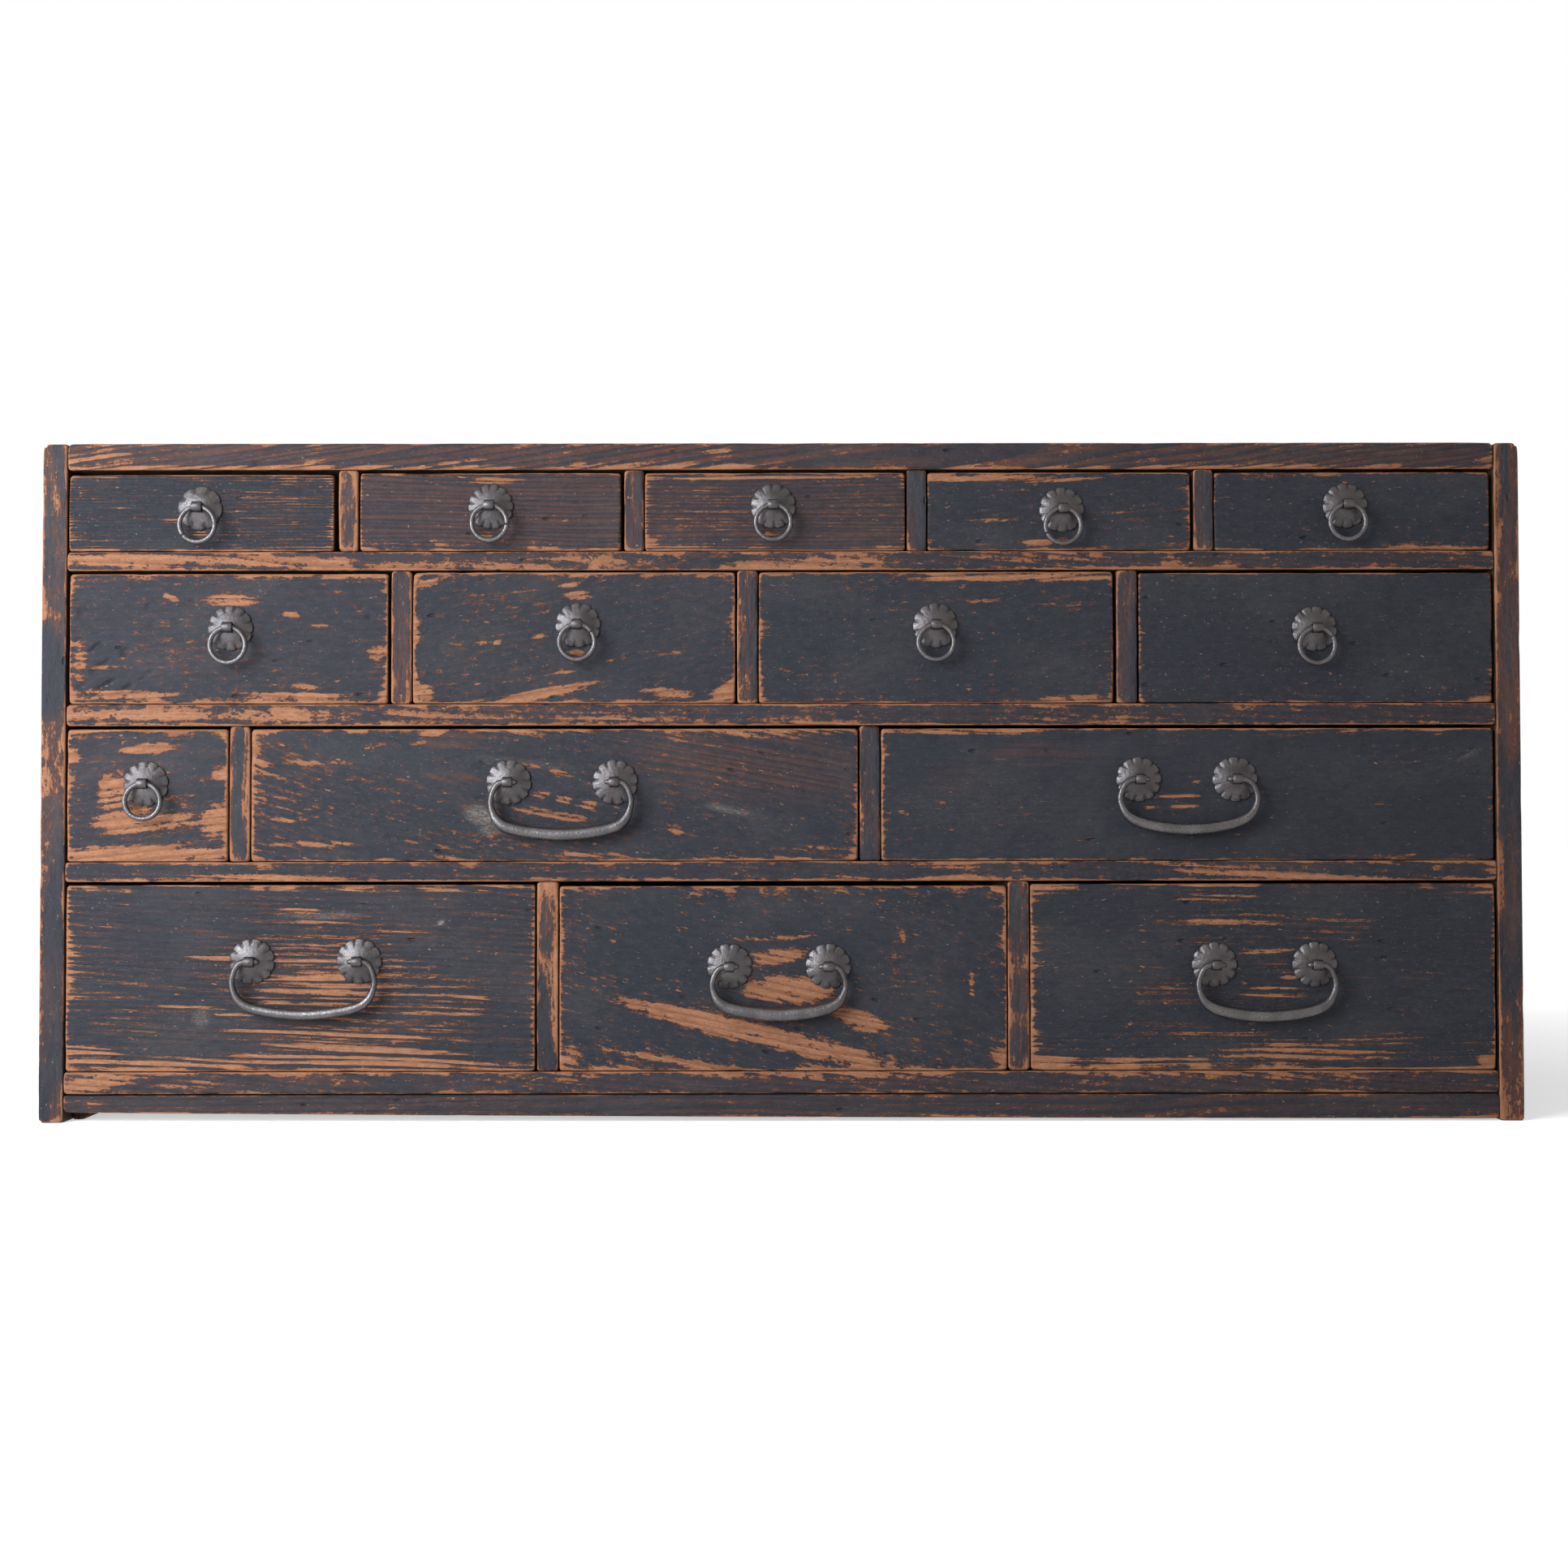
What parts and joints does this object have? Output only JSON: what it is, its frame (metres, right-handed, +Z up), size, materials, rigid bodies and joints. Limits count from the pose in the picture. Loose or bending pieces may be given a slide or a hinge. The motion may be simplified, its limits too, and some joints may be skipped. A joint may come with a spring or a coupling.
{
  "type": "tansu drawer chest",
  "caption": "Low rectangular wooden chest with rows of drawers of mixed widths, hung with forged iron ring and bail pulls on scalloped round plates.",
  "frame": {"origin": "on the floor under the middle of the overall box, pulls included", "axes": "+Z up, front towards -Y, +X to the right of someone facing the front"},
  "size_m": [0.909, 0.3136, 0.417],
  "materials": {
    "painted_drawer": "blue-black paint on softwood, satin, worn through to orange-brown wood",
    "painted_carcass": "brown-black paint and stain on softwood boards, satin, rubbed along the edges",
    "bare_wood": "aged bare softwood, matt",
    "forged_iron": "forged iron, rubbed bright, with brown patina"
  },
  "bodies": {
    "carcass": {"side_left": "painted_carcass", "side_right": "painted_carcass", "top_board": "painted_carcass", "shelf_upper": "painted_carcass", "shelf_middle": "painted_carcass", "shelf_lower": "painted_carcass", "bottom_board": "painted_carcass", "back_board": "bare_wood", "apron": "painted_carcass", "corner_block": "painted_carcass"},
    "drawer_1_1": {"drawer_1_1": "painted_drawer", "plate_1_1": "forged_iron"},
    "drawer_1_2": {"drawer_1_2": "painted_drawer", "plate_1_2": "forged_iron"},
    "drawer_1_3": {"drawer_1_3": "painted_drawer", "plate_1_3": "forged_iron"},
    "drawer_1_4": {"drawer_1_4": "painted_drawer", "plate_1_4": "forged_iron"},
    "drawer_1_5": {"drawer_1_5": "painted_drawer", "plate_1_5": "forged_iron"},
    "drawer_2_1": {"drawer_2_1": "painted_drawer", "plate_2_1": "forged_iron"},
    "drawer_2_2": {"drawer_2_2": "painted_drawer", "plate_2_2": "forged_iron"},
    "drawer_2_3": {"drawer_2_3": "painted_drawer", "plate_2_3": "forged_iron"},
    "drawer_2_4": {"drawer_2_4": "painted_drawer", "plate_2_4": "forged_iron"},
    "drawer_3_1": {"drawer_3_1": "painted_drawer", "plate_3_1": "forged_iron"},
    "drawer_3_2": {"drawer_3_2": "painted_drawer", "plate_3_2_left": "forged_iron", "plate_3_2_right": "forged_iron"},
    "drawer_3_3": {"drawer_3_3": "painted_drawer", "plate_3_3_left": "forged_iron", "plate_3_3_right": "forged_iron"},
    "drawer_4_1": {"drawer_4_1": "painted_drawer", "plate_4_1_left": "forged_iron", "plate_4_1_right": "forged_iron"},
    "drawer_4_2": {"drawer_4_2": "painted_drawer", "plate_4_2_left": "forged_iron", "plate_4_2_right": "forged_iron"},
    "drawer_4_3": {"drawer_4_3": "painted_drawer", "plate_4_3_left": "forged_iron", "plate_4_3_right": "forged_iron"},
    "ring_1_1": {"ring_1_1": "forged_iron"},
    "ring_1_2": {"ring_1_2": "forged_iron"},
    "ring_1_3": {"ring_1_3": "forged_iron"},
    "ring_1_4": {"ring_1_4": "forged_iron"},
    "ring_1_5": {"ring_1_5": "forged_iron"},
    "ring_2_1": {"ring_2_1": "forged_iron"},
    "ring_2_2": {"ring_2_2": "forged_iron"},
    "ring_2_3": {"ring_2_3": "forged_iron"},
    "ring_2_4": {"ring_2_4": "forged_iron"},
    "ring_3_1": {"ring_3_1": "forged_iron"},
    "bail_3_2": {"bail_3_2": "forged_iron"},
    "bail_3_3": {"bail_3_3": "forged_iron"},
    "bail_4_1": {"bail_4_1": "forged_iron"},
    "bail_4_2": {"bail_4_2": "forged_iron"},
    "bail_4_3": {"bail_4_3": "forged_iron"}
  },
  "joints": [
    {"name": "slide_1_1", "type": "slide", "parent": "carcass", "child": "drawer_1_1", "axis": [0, -1, 0], "range_m": [0, 0.22]},
    {"name": "slide_1_2", "type": "slide", "parent": "carcass", "child": "drawer_1_2", "axis": [0, -1, 0], "range_m": [0, 0.22]},
    {"name": "slide_1_3", "type": "slide", "parent": "carcass", "child": "drawer_1_3", "axis": [0, -1, 0], "range_m": [0, 0.22]},
    {"name": "slide_1_4", "type": "slide", "parent": "carcass", "child": "drawer_1_4", "axis": [0, -1, 0], "range_m": [0, 0.22]},
    {"name": "slide_1_5", "type": "slide", "parent": "carcass", "child": "drawer_1_5", "axis": [0, -1, 0], "range_m": [0, 0.22]},
    {"name": "slide_2_1", "type": "slide", "parent": "carcass", "child": "drawer_2_1", "axis": [0, -1, 0], "range_m": [0, 0.22]},
    {"name": "slide_2_2", "type": "slide", "parent": "carcass", "child": "drawer_2_2", "axis": [0, -1, 0], "range_m": [0, 0.22]},
    {"name": "slide_2_3", "type": "slide", "parent": "carcass", "child": "drawer_2_3", "axis": [0, -1, 0], "range_m": [0, 0.22]},
    {"name": "slide_2_4", "type": "slide", "parent": "carcass", "child": "drawer_2_4", "axis": [0, -1, 0], "range_m": [0, 0.22]},
    {"name": "slide_3_1", "type": "slide", "parent": "carcass", "child": "drawer_3_1", "axis": [0, -1, 0], "range_m": [0, 0.22]},
    {"name": "slide_3_2", "type": "slide", "parent": "carcass", "child": "drawer_3_2", "axis": [0, -1, 0], "range_m": [0, 0.22]},
    {"name": "slide_3_3", "type": "slide", "parent": "carcass", "child": "drawer_3_3", "axis": [0, -1, 0], "range_m": [0, 0.22]},
    {"name": "slide_4_1", "type": "slide", "parent": "carcass", "child": "drawer_4_1", "axis": [0, -1, 0], "range_m": [0, 0.22]},
    {"name": "slide_4_2", "type": "slide", "parent": "carcass", "child": "drawer_4_2", "axis": [0, -1, 0], "range_m": [0, 0.22]},
    {"name": "slide_4_3", "type": "slide", "parent": "carcass", "child": "drawer_4_3", "axis": [0, -1, 0], "range_m": [0, 0.22]},
    {"name": "swing_1_1", "type": "hinge", "parent": "drawer_1_1", "child": "ring_1_1", "pos_m": [-0.35742, -0.15268, 0.37689], "axis": [-1, 0, 0], "range_deg": [0, 170]},
    {"name": "swing_1_2", "type": "hinge", "parent": "drawer_1_2", "child": "ring_1_2", "pos_m": [-0.17875, -0.15268, 0.37769], "axis": [-1, 0, 0], "range_deg": [0, 170]},
    {"name": "swing_1_3", "type": "hinge", "parent": "drawer_1_3", "child": "ring_1_3", "pos_m": [-0.00486, -0.15268, 0.37788], "axis": [-1, 0, 0], "range_deg": [0, 170]},
    {"name": "swing_1_4", "type": "hinge", "parent": "drawer_1_4", "child": "ring_1_4", "pos_m": [0.17271, -0.15268, 0.37542], "axis": [-1, 0, 0], "range_deg": [0, 170]},
    {"name": "swing_1_5", "type": "hinge", "parent": "drawer_1_5", "child": "ring_1_5", "pos_m": [0.34731, -0.15268, 0.37788], "axis": [-1, 0, 0], "range_deg": [0, 170]},
    {"name": "swing_2_1", "type": "hinge", "parent": "drawer_2_1", "child": "ring_2_1", "pos_m": [-0.33844, -0.15268, 0.30291], "axis": [-1, 0, 0], "range_deg": [0, 170]},
    {"name": "swing_2_2", "type": "hinge", "parent": "drawer_2_2", "child": "ring_2_2", "pos_m": [-0.12499, -0.15268, 0.30459], "axis": [-1, 0, 0], "range_deg": [0, 170]},
    {"name": "swing_2_3", "type": "hinge", "parent": "drawer_2_3", "child": "ring_2_3", "pos_m": [0.09471, -0.15268, 0.30419], "axis": [-1, 0, 0], "range_deg": [0, 170]},
    {"name": "swing_2_4", "type": "hinge", "parent": "drawer_2_4", "child": "ring_2_4", "pos_m": [0.32777, -0.15268, 0.30195], "axis": [-1, 0, 0], "range_deg": [0, 170]},
    {"name": "swing_3_1", "type": "hinge", "parent": "drawer_3_1", "child": "ring_3_1", "pos_m": [-0.38978, -0.15268, 0.2074], "axis": [-1, 0, 0], "range_deg": [0, 170]},
    {"name": "swing_3_2", "type": "hinge", "parent": "drawer_3_2", "child": "bail_3_2", "pos_m": [-0.13471, -0.15268, 0.20796], "axis": [-1, 0, 0], "range_deg": [0, 170]},
    {"name": "swing_3_3", "type": "hinge", "parent": "drawer_3_3", "child": "bail_3_3", "pos_m": [0.24876, -0.15268, 0.20934], "axis": [-1, 0, 0], "range_deg": [0, 170]},
    {"name": "swing_4_1", "type": "hinge", "parent": "drawer_4_1", "child": "bail_4_1", "pos_m": [-0.29138, -0.15268, 0.09862], "axis": [-1, 0, 0], "range_deg": [0, 170]},
    {"name": "swing_4_2", "type": "hinge", "parent": "drawer_4_2", "child": "bail_4_2", "pos_m": [-0.00176, -0.15268, 0.09521], "axis": [-1, 0, 0], "range_deg": [0, 170]},
    {"name": "swing_4_3", "type": "hinge", "parent": "drawer_4_3", "child": "bail_4_3", "pos_m": [0.29567, -0.15268, 0.09588], "axis": [-1, 0, 0], "range_deg": [0, 170]}
  ]
}
